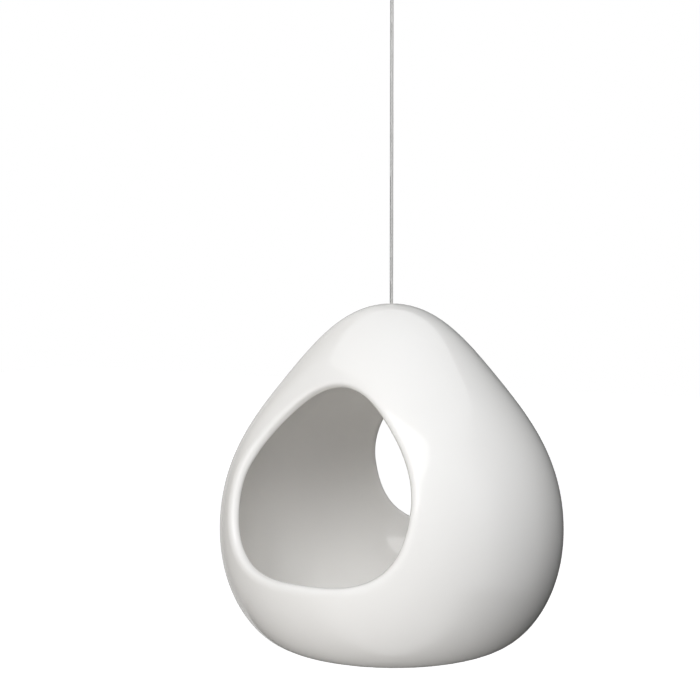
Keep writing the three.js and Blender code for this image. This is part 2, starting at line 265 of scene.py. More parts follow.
def shell_profile():
    """Outer profile as rows of radius, level and outward normal, from the foot's middle to the crown."""
    above_belly = np.array((BELLY_RADIUS, BELLY_LEVEL + BELLY_HANDLE))
    shoulder = np.array((SHOULDER_RADIUS, SHELL_HEIGHT - SHOULDER_DROP))
    beside_crown = np.array((CROWN_HANDLE, SHELL_HEIGHT))
    below_shoulder = (above_belly + shoulder) / 2
    above_shoulder = (shoulder + beside_crown) / 2
    meeting = (below_shoulder + above_shoulder) / 2
    belly = (BELLY_RADIUS, BELLY_LEVEL)
    foot = (FOOT_RADIUS, 0)
    points = np.vstack([
        np.linspace((0, 0), foot, PROFILE_STEPS, endpoint=False),
        bezier(foot, (FOOT_RADIUS + FOOT_HANDLE, 0), (BELLY_RADIUS, BELLY_LEVEL - BELLY_HANDLE), belly,
               PROFILE_STEPS),
        bezier(belly, above_belly, below_shoulder, meeting, PROFILE_STEPS),
        bezier(meeting, above_shoulder, beside_crown, (0, SHELL_HEIGHT), PROFILE_STEPS),
        [(0, SHELL_HEIGHT)],
    ])
    along = np.gradient(points, axis=0)
    along /= np.linalg.norm(along, axis=1)[:, None]
    return np.column_stack([points, along[:, 1], -along[:, 0]])


PROFILE = shell_profile()
RISES = np.arctan2(PROFILE[:, 1] - MOUTH_MIDDLE, PROFILE[:, 0])


def eased(share):
    """Goes from 0 to 1 with a soft start and end."""
    return share * share * (3 - 2 * share)


def thickness_at(level):
    """The wall grows thicker from the belly to the crown."""
    share = np.clip((level - THICKENING_START) / (THICKENING_END - THICKENING_START), 0, 1)
    return WALL + (CROWN_WALL - WALL) * eased(share)


def wall_at(side, lean):
    """Where a direction from the middle of the mouths meets the outer wall, and the wall's normal there."""
    x = np.cos(lean) * np.cos(side)
    y = np.sin(lean)
    z = np.cos(lean) * np.sin(side)
    rise = np.arctan2(z, np.hypot(x, y))
    turn = np.arctan2(y, x)
    radius, level, out, up = (np.interp(rise, RISES, column) for column in PROFILE.T)
    place = np.stack([radius * np.cos(turn), radius * np.sin(turn), level], -1)
    normal = np.stack([out * np.cos(turn), out * np.sin(turn), up], -1)
    return place, normal


def mouth_outline():
    """Points of a mouth's outline seen square on, evenly spaced, as sideways place and level."""
    half = MOUTH_WIDTH / 2
    widest = (half, MOUTH_WIDEST_LEVEL)
    right = np.vstack([
        bezier((0, SILL_LEVEL), (SILL_HANDLE, SILL_LEVEL),
               (half, MOUTH_WIDEST_LEVEL - MOUTH_SIDE_LOWER_HANDLE), widest, OUTLINE_STEPS),
        bezier(widest, (half, MOUTH_WIDEST_LEVEL + MOUTH_SIDE_UPPER_HANDLE),
               (MOUTH_TOP_HANDLE, MOUTH_TOP), (0, MOUTH_TOP), OUTLINE_STEPS),
        [(0, MOUTH_TOP)],
    ])
    whole = np.vstack([right, right[-2::-1] * (-1, 1)])
    lengths = np.linalg.norm(np.diff(whole, axis=0), axis=1)
    run = np.concatenate([[0], np.cumsum(lengths)])
    even = np.linspace(0, run[-1], STATIONS, endpoint=False)
    return np.interp(even, run, whole[:, 0]), np.interp(even, run, whole[:, 1])


def toward_end(share, start):
    """How far a share from -1 to 1 has come from its start to the nearer end."""
    return np.clip((np.abs(share) - start) / (1 - start), 0, 1)


def mouth_leans(x, level, side):
    """How far each section leans over where its outer skin meets the mouth's outline."""
    edge = np.hypot(x, level - MOUTH_MIDDLE)
    low, high = np.zeros_like(side), np.full_like(side, math.pi / 2)
    for _ in range(HALVINGS):
        middle = (low + high) / 2
        place, _normal = wall_at(side, middle)
        outside = np.hypot(place[:, 0], place[:, 2] - MOUTH_MIDDLE) > edge
        low, high = np.where(outside, middle, low), np.where(outside, high, middle)
    return low


def fitted_lips(side, lean):
    """Where each section's skin ends, and its lip's half thickness, reach and bend.

    A slim lip starts nearer to the mouth, so that the edge that shows stays where a full lip has it.
    """
    tip, before = wall_at(side, lean)[0], wall_at(side, lean - LEAN_STEP)[0]
    step = np.linalg.norm(tip - before, axis=1)
    to_mouth = (tip - before) / step[:, None]
    end_lean = lean - LIP_REACH * LEAN_STEP / step
    place, normal = wall_at(side, end_lean)
    half = thickness_at(place[:, 2]) / 2
    slim = np.minimum(1, LIP_THICKEST / 2 / half)
    inward = to_mouth * (1, 0, 1)
    inward /= np.linalg.norm(inward, axis=1)[:, None]
    along = np.sum(to_mouth * inward, 1)
    sunk = -half * np.sum(normal * inward, 1)
    overhang = sunk + np.hypot(sunk, LIP_REACH * along)
    end_lean += (1 - slim) * overhang / along * LEAN_STEP / step
    return end_lean, half * slim, LIP_REACH * slim, LIP_BEND * (1 - slim)


def outer_skin(side, end_lean, bend, spans):
    """Points of the outer skin from mouth to mouth, their directions to the back and their normals."""
    share = np.linspace(-1, 1, spans + 1)
    place, out = wall_at(side[:, None], end_lean[:, None] * share)
    place = place - out * (bend[:, None] * toward_end(share, LIP_BEND_START) ** 2)[:, :, None]
    to_back = np.gradient(place, axis=1, edge_order=2)
    to_back /= np.linalg.norm(to_back, axis=2)[:, :, None]
    normal = np.cross(np.roll(place, -1, 0) - np.roll(place, 1, 0), to_back)
    normal /= np.linalg.norm(normal, axis=2)[:, :, None]
    return place, to_back, normal * np.sign(np.sum(normal * out, 2))[:, :, None]


def lip_round(place, towards, normal, half, reach):
    """Points of a lip, from the outer skin round to the inner one."""
    rounds = []
    for a in np.linspace(0, math.pi, LIP_SPANS + 1)[1:-1]:
        out = math.sin(a) ** LIP_FULLNESS
        depth = 1 - math.copysign(abs(math.cos(a)) ** LIP_FULLNESS, math.cos(a))
        rounds.append(place + towards * reach[:, None] * out - normal * half[:, None] * depth)
    return np.stack(rounds, 1)


def wall_places():
    """The wall's skin: closed sections, one at each station of the mouth outline."""
    x, level = mouth_outline()
    side = np.arctan2(level - MOUTH_MIDDLE, x)
    end_lean, half, reach, bend = fitted_lips(side, mouth_leans(x, level, side))
    outside, to_back, normal = outer_skin(side, end_lean, bend, OUTER_SPANS)
    back_lip = lip_round(outside[:, -1], to_back[:, -1], normal[:, -1], half, reach)
    front_lip = lip_round(outside[:, 0], -to_back[:, 0], normal[:, 0], half, reach)
    behind, _to_back, normal = outer_skin(side, end_lean, bend, INNER_SPANS)
    thickness = thickness_at(behind[:, :, 2])
    near_lip = eased(toward_end(np.linspace(-1, 1, INNER_SPANS + 1), LIP_TAPER_START))
    thickness += near_lip * (2 * half[:, None] - thickness)
    inside = behind - normal * thickness[:, :, None]
    return np.concatenate([outside, back_lip, inside[:, ::-1], front_lip[:, ::-1]], 1)


def only(piece):
    """Makes one object the selected and active one."""
    bpy.ops.object.select_all(action="DESELECT")
    piece.select_set(True)
    bpy.context.view_layer.objects.active = piece


def tidy_mesh(piece):
    """Merges doubled vertices and turns all faces outwards."""
    only(piece)
    bpy.ops.object.mode_set(mode="EDIT")
    bpy.ops.mesh.select_all(action="SELECT")
    bpy.ops.mesh.remove_doubles(threshold=MERGE_WITHIN * MM)
    bpy.ops.mesh.delete_loose()
    bpy.ops.mesh.select_all(action="SELECT")
    bpy.ops.mesh.normals_make_consistent(inside=False)
    bpy.ops.object.mode_set(mode="OBJECT")


def smoothed(piece, degrees):
    """Shades a piece smooth, apart from edges sharper than the angle."""
    only(piece)
    bpy.ops.object.shade_smooth_by_angle(angle=math.radians(degrees))
    return piece


def turned(name, outline, steps=TURN_STEPS):
    """A closed outline of radius and level, spun about the vertical axis."""
    bpy.ops.object.select_all(action="DESELECT")
    bpy.ops.mesh.primitive_circle_add(vertices=len(outline))
    piece = bpy.context.object
    piece.name = name
    for vertex, (radius, level) in zip(piece.data.vertices, outline):
        vertex.co = Vector((radius, 0, level)) * MM
    bpy.ops.object.mode_set(mode="EDIT")
    bpy.ops.mesh.select_all(action="SELECT")
    bpy.ops.mesh.spin(steps=steps, angle=2 * math.pi, center=(0, 0, 0), axis=(0, 0, 1))
    bpy.ops.object.mode_set(mode="OBJECT")
    tidy_mesh(piece)
    return piece


def cut(piece, cutter):
    """Takes the cutter's shape out of a piece and removes the cutter."""
    only(piece)
    bpy.ops.object.modifier_add(type="BOOLEAN")
    boolean = piece.modifiers[-1]
    boolean.operation = "DIFFERENCE"
    boolean.solver = "EXACT"
    boolean.object = cutter
    bpy.ops.object.modifier_apply(modifier=boolean.name)
    bpy.data.objects.remove(cutter)


def arc(x, y, radius, start, end, spans=ARC_SPANS):
    """Points of an arc between two angles in degrees."""
    angles = np.radians(np.linspace(start, end, spans + 1))
    return [(x + radius * math.cos(a), y + radius * math.sin(a)) for a in angles]


def hole_cutter():
    """Plug that opens the crown for the wire, flared at both ends."""
    wide = HOLE_RADIUS + HOLE_EASE
    return turned("hole_cutter", [
        (0, INNER_CROWN - CUT_MARGIN),
        (wide, INNER_CROWN - CUT_MARGIN),
        *arc(wide, INNER_CROWN + HOLE_EASE, HOLE_EASE, 270, 180),
        *arc(wide, CROWN - HOLE_EASE, HOLE_EASE, 180, 90),
        (wide, CROWN + CUT_MARGIN),
        (0, CROWN + CUT_MARGIN),
    ])


def foot_cutter():
    """Shallow dish that leaves a ring to stand on."""
    radius = FOOT_RADIUS - FOOT_RING
    return turned("foot_cutter", [
        (0, BASE - CUT_MARGIN),
        (radius + FOOT_SOFTENING, BASE - CUT_MARGIN),
        *arc(radius + FOOT_SOFTENING, BASE + FOOT_SOFTENING, FOOT_SOFTENING, 270, 180),
        *arc(radius - FOOT_SOFTENING, BASE + FOOT_RECESS - FOOT_SOFTENING, FOOT_SOFTENING, 0, 90),
        (0, BASE + FOOT_RECESS),
    ], steps=2 * TURN_STEPS)


def make_shell():
    """The wall goes all the way round both mouths, as a ring does, so it starts as a torus."""
    places = wall_places() + (0, 0, BASE)
    bpy.ops.object.select_all(action="DESELECT")
    bpy.ops.mesh.primitive_torus_add(major_segments=STATIONS, minor_segments=places.shape[1])
    piece = bpy.context.object
    piece.name = "glazed_shell"
    piece.data.vertices.foreach_set("co", (places * MM).astype(np.float32).ravel())
    tidy_mesh(piece)
    cut(piece, hole_cutter())
    cut(piece, foot_cutter())
    return smoothed(piece, MOULDED_SMOOTHING)


def rope_route():
    """The rope's middle line as x and z, from its lower end up the straight stretch and round the loop."""
    foot = (0, INNER_CROWN - ROPE_END)
    neck = (0, SLEEVE_TOP)
    left = (-LOOP_HALF_WIDTH, LOOP_WIDEST)
    top = (0, ROPE_RADIUS)
    right = (LOOP_HALF_WIDTH, LOOP_WIDEST)
    back = (BARREL_PITCH, SLEEVE_TOP)
    end = (BARREL_PITCH, SLEEVE_BOTTOM - CUT_END)

    def beside(point, x, z):
        return point[0] + x, point[1] + z

    def curve(start, leave, arrive, finish):
        return bezier(start, beside(start, *leave), beside(finish, *arrive), finish, OUTLINE_STEPS)

    above_neck = (0, LOOP_NECK_HANDLE)
    below_side = (0, -LOOP_SIDE_LOWER_HANDLE)
    above_side = (0, LOOP_SIDE_UPPER_HANDLE)
    route = np.vstack([
        np.linspace(foot, neck, OUTLINE_STEPS, endpoint=False),
        curve(neck, above_neck, below_side, left),
        curve(left, above_side, (-LOOP_TOP_HANDLE, 0), top),
        curve(top, (LOOP_TOP_HANDLE, 0), above_side, right),
        curve(right, below_side, above_neck, back),
        np.linspace(back, end, OUTLINE_STEPS),
    ])
    run = np.concatenate([[0], np.cumsum(np.linalg.norm(np.diff(route, axis=0), axis=1))])
    even = np.linspace(0, run[-1], int(run[-1] / LAY_LENGTH * POINTS_PER_LAY))
    return np.column_stack([np.interp(even, run, route[:, 0]), np.interp(even, run, route[:, 1])]), even


def make_rope():
    """A curve with one round strand for each spline, turned into a mesh."""
    route, run = rope_route()
    middle = np.column_stack([route[:, 0], np.zeros(len(route)), route[:, 1]])
    along = np.gradient(route, axis=0)
    along /= np.linalg.norm(along, axis=1)[:, None]
    across = np.column_stack([-along[:, 1], np.zeros(len(route)), along[:, 0]])
    forward = np.array((0, 1, 0))
    curve = bpy.data.curves.new("wire_rope", "CURVE")
    curve.dimensions = "3D"
    curve.bevel_depth = STRAND_RADIUS * MM
    curve.bevel_resolution = 1
    curve.use_fill_caps = True
    lines = [middle]
    for strand in range(STRANDS):
        turn = (2 * math.pi * (run / LAY_LENGTH + strand / STRANDS))[:, None]
        away = np.cos(turn) * across + np.sin(turn) * forward
        lines.append(middle + (ROPE_RADIUS - STRAND_RADIUS) * away)
    for line in lines:
        spline = curve.splines.new("POLY")
        spline.points.add(len(line) - 1)
        spline.points.foreach_set("co", np.column_stack([line * MM, np.ones(len(line))]).ravel())
    piece = bpy.data.objects.new("wire_rope", curve)
    bpy.context.scene.collection.objects.link(piece)
    only(piece)
    bpy.ops.object.convert(target="MESH")
    tidy_mesh(piece)
    groove_depth(piece, middle * MM)
    return smoothed(piece, ROPE_SMOOTHING)


def groove_depth(piece, middle):
    """Keeps on each vertex how far out of the rope it lies: 1 on the strands' crests, 0 at the middle. The
    wire's painted shade in the grooves follows it.
    """
    tree = kdtree.KDTree(len(middle))
    for index, point in enumerate(middle):
        tree.insert(point, index)
    tree.balance()
    out = [min(tree.find(vertex.co)[2] / (ROPE_RADIUS * MM), 1) for vertex in piece.data.vertices]
    piece.data.attributes.new("crest", "FLOAT", "POINT").data.foreach_set("value", out)


def make_loop_sleeve():
    """Flat two-barrel tube, pressed in two bands, drawn up level by level from a stretched circle."""
    bpy.ops.object.select_all(action="DESELECT")
    bpy.ops.mesh.primitive_circle_add(
        vertices=TURN_STEPS, radius=BARREL_RADIUS * MM, fill_type="NGON",
        location=(0, 0, SLEEVE_BOTTOM * MM))
    piece = bpy.context.object
    piece.name = "crimped_sleeve"
    bpy.ops.object.transform_apply(location=True)
    for vertex in piece.data.vertices:
        vertex.co.x += BARREL_PITCH * MM if vertex.co.x > 0 else 0
    bpy.ops.object.mode_set(mode="EDIT")
    bpy.ops.mesh.select_mode(type="FACE")
    bpy.ops.mesh.select_all(action="SELECT")
    middle = Vector((BARREL_PITCH / 2, 0, 0)) * MM
    shares = np.linspace(-1, 1, CRIMP_LEVELS)
    pressed = {round(c + CRIMP_HALF_WIDTH * t, 3) for c in CRIMP_DROPS for t in shares}
    drops = sorted({0, SLEEVE_LENGTH} | pressed, reverse=True)
    thick, wide = 1, 1
    for lower, upper in zip(drops, drops[1:]):
        near = min(abs(upper - c) for c in CRIMP_DROPS) / CRIMP_HALF_WIDTH
        press = (1 + math.cos(math.pi * min(near, 1))) / 2
        next_thick, next_wide = 1 - CRIMP_SQUEEZE * press, 1 + CRIMP_SPREAD * press
        rise = (0, 0, (lower - upper) * MM)
        bpy.ops.mesh.extrude_region_move(TRANSFORM_OT_translate={"value": rise})
        change = (next_wide / wide, next_thick / thick, 1)
        bpy.ops.transform.resize(value=change, center_override=middle)
        thick, wide = next_thick, next_wide
    bpy.ops.object.mode_set(mode="OBJECT")
    tidy_mesh(piece)
    for x in (0, BARREL_PITCH):
        bpy.ops.object.select_all(action="DESELECT")
        bpy.ops.mesh.primitive_cylinder_add(
            vertices=TURN_STEPS, radius=SLEEVE_BORE * MM, depth=2 * SLEEVE_LENGTH * MM,
            location=(x * MM, 0, (SLEEVE_TOP + SLEEVE_BOTTOM) / 2 * MM))
        cut(piece, bpy.context.object)
    only(piece)
    bpy.ops.object.modifier_add(type="BEVEL")
    bevel = piece.modifiers[-1]
    bevel.width = SLEEVE_EDGE * MM
    bevel.segments = SLEEVE_EDGE_SPANS
    bevel.limit_method = "ANGLE"
    bevel.angle_limit = math.radians(SLEEVE_EDGE_ANGLE)
    bpy.ops.object.modifier_apply(modifier=bevel.name)
    return smoothed(piece, METAL_SMOOTHING)


def make_stop_sleeve():
    """Round tube pressed narrower in the middle, where it grips the rope."""
    top, bottom = INNER_CROWN - STOP_TOP, INNER_CROWN - STOP_BOTTOM
    middle = (top + bottom) / 2
    half_length = STOP_WAIST_LENGTH / 2 + STOP_EDGE
    share = np.linspace(-1, 1, STOP_WAIST_POINTS)
    waist = STOP_RADIUS - STOP_WAIST * (1 + np.cos(math.pi * share)) / 2
    piece = turned("stop_sleeve", [
        (CLOSE_BORE, bottom),
        *arc(STOP_RADIUS - STOP_EDGE, bottom + STOP_EDGE, STOP_EDGE, -90, 0),
        *zip(waist, middle + half_length * share),
        *arc(STOP_RADIUS - STOP_EDGE, top - STOP_EDGE, STOP_EDGE, 0, 90),
        (CLOSE_BORE, top),
    ])
    return smoothed(piece, METAL_SMOOTHING)


def make_washer():
    """Flat steel washer with broken edges."""
    top, bottom = INNER_CROWN - WASHER_TOP, INNER_CROWN - WASHER_BOTTOM
    outer = WASHER_RADIUS - WASHER_EDGE
    piece = turned("steel_washer", [
        (CLOSE_BORE, bottom),
        *arc(outer, bottom + WASHER_EDGE, WASHER_EDGE, -90, 0, SMALL_ARC_SPANS),
        *arc(outer, top - WASHER_EDGE, WASHER_EDGE, 0, 90, SMALL_ARC_SPANS),
        (CLOSE_BORE, top),
    ])
    return smoothed(piece, METAL_SMOOTHING)


def make_cushion():
    """Rubber washer whose top follows the crown's inside."""
    inner = PROFILE[:, :2] - thickness_at(PROFILE[:, 1:2]) * PROFILE[:, 2:]
    crown = inner[inner[:, 1] > SHELL_HEIGHT - CROWN_WALL - CUSHION_BOTTOM]
    outer = CUSHION_RADIUS - CUSHION_EDGE
    radii = np.linspace(outer, CLOSE_BORE, CUSHION_TOP_POINTS)
    order = np.argsort(crown[:, 0])
    levels = np.interp(radii, crown[order, 0], crown[order, 1]) + BASE - CUSHION_SEAT
    bottom = INNER_CROWN - CUSHION_BOTTOM
    piece = turned("rubber_cushion", [
        (CLOSE_BORE, bottom),
        *arc(outer, bottom + CUSHION_EDGE, CUSHION_EDGE, -90, 0, SMALL_ARC_SPANS + 1),
        *arc(outer, levels[0] - CUSHION_EDGE, CUSHION_EDGE, 0, CUSHION_TOP_TURN, SMALL_ARC_SPANS),
        *zip(radii, levels),
    ])
    return smoothed(piece, MOULDED_SMOOTHING)


def material(name):
    """A new node material and its shader."""
    made = bpy.data.materials.new(name)
    made.use_nodes = True
    return made, made.node_tree.nodes, made.node_tree.links, made.node_tree.nodes["Principled BSDF"]


def surface_group(name, inputs, outputs):
    """A node group with named sockets, and the nodes where it starts and ends."""
    group = bpy.data.node_groups.new(name, "ShaderNodeTree")
    for label, kind in inputs.items():
        group.interface.new_socket(label, in_out="INPUT", socket_type=kind)
    for label, kind in outputs.items():
        group.interface.new_socket(label, in_out="OUTPUT", socket_type=kind)
    return group, group.nodes.new("NodeGroupInput"), group.nodes.new("NodeGroupOutput")


def mixed(nodes, links, share, first, second):
    """Blend of two colours by a share that changes over the surface."""
    mix = nodes.new("ShaderNodeMix")
    mix.data_type = "RGBA"
    links.new(share, mix.inputs[0])
    links.new(first, mix.inputs[6])
    links.new(second, mix.inputs[7])
    return mix.outputs[2]


def ranged(nodes, links, value, low, high):
    """Zero at the low value, one at the high value."""
    share = nodes.new("ShaderNodeMapRange")
    share.inputs["From Min"].default_value = low
    share.inputs["From Max"].default_value = high
    links.new(value, share.inputs["Value"])
    return share.outputs["Result"]


def tone_drift():
    """Soft clouds of two tones."""
    group, given, result = surface_group(
        "tone_drift",
        {"Pale": "NodeSocketColor", "Deep": "NodeSocketColor", "Scale": "NodeSocketFloat"},
        {"Color": "NodeSocketColor"})
    nodes, links = group.nodes, group.links
    place = nodes.new("ShaderNodeTexCoord")
    clouds = nodes.new("ShaderNodeTexNoise")
    clouds.inputs["Detail"].default_value = 3
    links.new(place.outputs["Object"], clouds.inputs["Vector"])
    links.new(given.outputs["Scale"], clouds.inputs["Scale"])
    share = ranged(nodes, links, clouds.outputs["Fac"], CLOUD_LOW, CLOUD_HIGH)
    tone = mixed(nodes, links, share, given.outputs["Deep"], given.outputs["Pale"])
    links.new(tone, result.inputs["Color"])
    return group


def fine_grain():
    """Small unevenness: how matt it is and how high it stands, with Stretch waves to a metre each way."""
    group, given, result = surface_group(
        "fine_grain",
        {"Stretch": "NodeSocketVector", "Smooth": "NodeSocketFloat", "Matt": "NodeSocketFloat"},
        {"Roughness": "NodeSocketFloat", "Height": "NodeSocketFloat"})
    nodes, links = group.nodes, group.links
    place = nodes.new("ShaderNodeTexCoord")
    stretched = nodes.new("ShaderNodeVectorMath")
    stretched.operation = "MULTIPLY"
    links.new(place.outputs["Object"], stretched.inputs[0])
    links.new(given.outputs["Stretch"], stretched.inputs[1])
    grain = nodes.new("ShaderNodeTexNoise")
    grain.inputs["Scale"].default_value = 1
    grain.inputs["Detail"].default_value = 2
    links.new(stretched.outputs["Vector"], grain.inputs["Vector"])
    matt = nodes.new("ShaderNodeMapRange")
    matt.inputs["From Min"].default_value = GRAIN_LOW
    matt.inputs["From Max"].default_value = GRAIN_HIGH
    links.new(grain.outputs["Fac"], matt.inputs["Value"])
    links.new(given.outputs["Smooth"], matt.inputs["To Min"])
    links.new(given.outputs["Matt"], matt.inputs["To Max"])
    links.new(matt.outputs["Result"], result.inputs["Roughness"])
    links.new(grain.outputs["Fac"], result.inputs["Height"])
    return group


TONE_DRIFT = tone_drift()
FINE_GRAIN = fine_grain()


def placed(nodes, group, **values):
    """Puts a group in a material with its own values."""
    made = nodes.new("ShaderNodeGroup")
    made.node_tree = group
    for label, value in values.items():
        made.inputs[label].default_value = value
    return made


def drifting(nodes, pale, deep, scale):
    """Clouds of two tones, with so many of them to a metre."""
    return placed(nodes, TONE_DRIFT, Pale=(*pale, 1), Deep=(*deep, 1), Scale=scale).outputs["Color"]


def grained(nodes, links, shader, stretch, smooth, matt, depth):
    """Grain for the shader's normal. Gives back the grain's roughness. The depth is in millimetres."""
    grain = placed(nodes, FINE_GRAIN, Stretch=stretch, Smooth=smooth, Matt=matt)
    bump = nodes.new("ShaderNodeBump")
    bump.inputs["Strength"].default_value = 1
    bump.inputs["Distance"].default_value = depth * MM
    links.new(grain.outputs["Height"], bump.inputs["Height"])
    links.new(bump.outputs["Normal"], shader.inputs["Normal"])
    return grain.outputs["Roughness"]


def glaze():
    """Glossy white glaze, slightly wavy, with bare ceramic where the foot ring was ground."""
    made, nodes, links, shader = material("white_glaze")
    place = nodes.new("ShaderNodeTexCoord")
    parts = nodes.new("ShaderNodeSeparateXYZ")
    links.new(place.outputs["Object"], parts.inputs["Vector"])
    glazed_from = (BASE + GROUND_EDGE) * MM
    bare_to = (BASE + GROUND_EDGE / 2) * MM
    ground = ranged(nodes, links, parts.outputs["Z"], glazed_from, bare_to)
    white = drifting(nodes, GLAZE_PALE, GLAZE_DEEP, scale=16)
    bare = drifting(nodes, BARE_PALE, BARE_DEEP, scale=450)
    links.new(mixed(nodes, links, ground, white, bare), shader.inputs["Base Color"])
    glossy = grained(
        nodes, links, shader, stretch=(70, 70, 70), smooth=GLAZE_SMOOTH, matt=GLAZE_MATT, depth=GLAZE_WAVES)
    matt = nodes.new("ShaderNodeMix")
    links.new(ground, matt.inputs[0])
    links.new(glossy, matt.inputs[2])
    matt.inputs[3].default_value = BARE_ROUGHNESS
    links.new(matt.outputs[0], shader.inputs["Roughness"])
    shader.inputs["IOR"].default_value = GLAZE_IOR
    return made


def wire_steel():
    """Drawn steel strands, with painted shade darkening the grooves between them."""
    made, nodes, links, shader = material("wire_steel")
    crest = nodes.new("ShaderNodeAttribute")
    crest.attribute_name = "crest"
    # Painted shade: the grooves between the strands are darker, and the crests keep the steel's own tone
    out = ranged(nodes, links, crest.outputs["Fac"], CREST_START, CREST_END)
    groove = drifting(nodes, GROOVE_SHADE_PALE, GROOVE_SHADE_DEEP, scale=900)
    strand = drifting(nodes, STRAND_PALE, STRAND_DEEP, scale=250)
    links.new(mixed(nodes, links, out, groove, strand), shader.inputs["Base Color"])
    roughness = grained(
        nodes, links, shader, stretch=(4000, 4000, 900), smooth=0.4, matt=0.55, depth=0.004)
    links.new(roughness, shader.inputs["Roughness"])
    shader.inputs["Metallic"].default_value = 1
    return made


def plain_finish(name, pale, deep, scale, stretch, smooth, matt, depth, metallic):
    """A finish of one kind all over: clouded tones and a fine grain."""
    made, nodes, links, shader = material(name)
    links.new(drifting(nodes, pale, deep, scale), shader.inputs["Base Color"])
    roughness = grained(nodes, links, shader, stretch, smooth, matt, depth)
    links.new(roughness, shader.inputs["Roughness"])
    shader.inputs["Metallic"].default_value = metallic
    return made


def crimp_aluminium():
    """Soft aluminium tube with fine drawn lines along it."""
    return plain_finish(
        "crimp_aluminium", pale=(0.72, 0.72, 0.71), deep=(0.58, 0.58, 0.57), scale=350,
        stretch=(5000, 5000, 300), smooth=0.28, matt=0.48, depth=0.01, metallic=1)


def washer_zinc():
    """Zinc plating, faintly clouded."""
    return plain_finish(
        "washer_zinc", pale=(0.66, 0.67, 0.68), deep=(0.46, 0.47, 0.5), scale=700,
        stretch=(2500, 2500, 2500), smooth=0.22, matt=0.42, depth=0.006, metallic=1)


def cushion_rubber():
    """Matt black rubber with a fine moulded grain."""
    return plain_finish(
        "cushion_rubber", pale=(0.055, 0.055, 0.056), deep=(0.03, 0.03, 0.03), scale=500,
        stretch=(3500, 3500, 3500), smooth=0.55, matt=0.8, depth=0.03, metallic=0)


def camera_white(nodes, links):
    """One for rays that should see the white background, zero for those that only carry light."""
    path = nodes.new("ShaderNodeLightPath")
    seen = path.outputs["Is Camera Ray"]
    for other in ("Is Glossy Ray", "Is Transmission Ray"):
        either = nodes.new("ShaderNodeMath")
        either.operation = "MAXIMUM"
        links.new(seen, either.inputs[0])
        links.new(path.outputs[other], either.inputs[1])
        seen = either.outputs[0]
    return seen


def white_world():
    """White where it is seen, and only a little light from it."""
    world = bpy.data.worlds.new("white_room")
    bpy.context.scene.world = world
    world.use_nodes = True
    nodes, links = world.node_tree.nodes, world.node_tree.links
    strength = nodes.new("ShaderNodeMapRange")
    links.new(camera_white(nodes, links), strength.inputs["Value"])
    strength.inputs["To Min"].default_value = AMBIENT
    strength.inputs["To Max"].default_value = 1
    background = nodes["Background"]
    background.inputs["Color"].default_value = (1, 1, 1, 1)
    links.new(strength.outputs["Result"], background.inputs["Strength"])


def floor():
    """Pale floor that shows white, a little less so under the object, where it keeps the shadow."""
    bpy.ops.object.select_all(action="DESELECT")
    level = (BASE - FLOOR_DROP) * MM
    bpy.ops.mesh.primitive_plane_add(size=FLOOR_SIDE * MM, location=(0, 0, level))
    piece = bpy.context.object
    piece.name = "floor"
    made, nodes, links, shader = material("pale_floor")
    shader.inputs["Base Color"].default_value = (FLOOR_TONE, FLOOR_TONE, FLOOR_TONE, 1)
    shader.inputs["Roughness"].default_value = FLOOR_ROUGHNESS
    shader.inputs["Emission Color"].default_value = (1, 1, 1, 1)
    place = nodes.new("ShaderNodeTexCoord")
    away = nodes.new("ShaderNodeVectorMath")
    away.operation = "LENGTH"
    links.new(place.outputs["Object"], away.inputs[0])
    bright = nodes.new("ShaderNodeMapRange")
    bright.inputs["From Min"].default_value = SHADOW_NEAR * MM
    bright.inputs["From Max"].default_value = SHADOW_FAR * MM
    bright.inputs["To Min"].default_value = SHADOW_GLOW
    links.new(away.outputs["Value"], bright.inputs["Value"])
    seen = nodes.new("ShaderNodeMath")
    seen.operation = "MULTIPLY"
    links.new(camera_white(nodes, links), seen.inputs[0])
    links.new(bright.outputs["Result"], seen.inputs[1])
    links.new(seen.outputs[0], shader.inputs["Emission Strength"])
    piece.data.materials.append(made)


def out_from_shell(side, elevation, distance):
    """A place round the shell: side is in degrees to the right of the camera, as the camera sees it."""
    turn = math.radians(VIEW_AZIMUTH + side)
    rise = math.radians(elevation)
    level = math.cos(rise)
    away = Vector((math.sin(turn) * level, -math.cos(turn) * level, math.sin(rise)))
    return SHELL_MIDDLE + away * distance * MM


def softbox(name, side, elevation, width, height, power, tint):
    """A soft lamp that lights the object without being mirrored in it."""
    lamp = bpy.data.lights.new(name, "AREA")
    lamp.shape = "RECTANGLE"
    lamp.size, lamp.size_y = width * MM, height * MM
    lamp.energy = power
    lamp.color = tint
    holder = bpy.data.objects.new(name, lamp)
    bpy.context.scene.collection.objects.link(holder)
    holder.location = out_from_shell(side, elevation, LAMP_DISTANCE)
    holder.rotation_euler = (SHELL_MIDDLE - holder.location).to_track_quat("-Z", "Y").to_euler()
    holder.visible_camera = False
    holder.visible_glossy = False


def mirrored_only(card):
    """Makes a studio card show in reflections alone. Gives back its nodes, its links and its glow."""
    made = bpy.data.materials.new(card.name)
    made.use_nodes = True
    nodes, links = made.node_tree.nodes, made.node_tree.links
    nodes.remove(nodes["Principled BSDF"])
    glow = nodes.new("ShaderNodeEmission")
    links.new(glow.outputs["Emission"], nodes["Material Output"].inputs["Surface"])
    card.data.materials.append(made)
    card.visible_camera = False
    card.visible_diffuse = False
    card.visible_shadow = False
    return nodes, links, glow


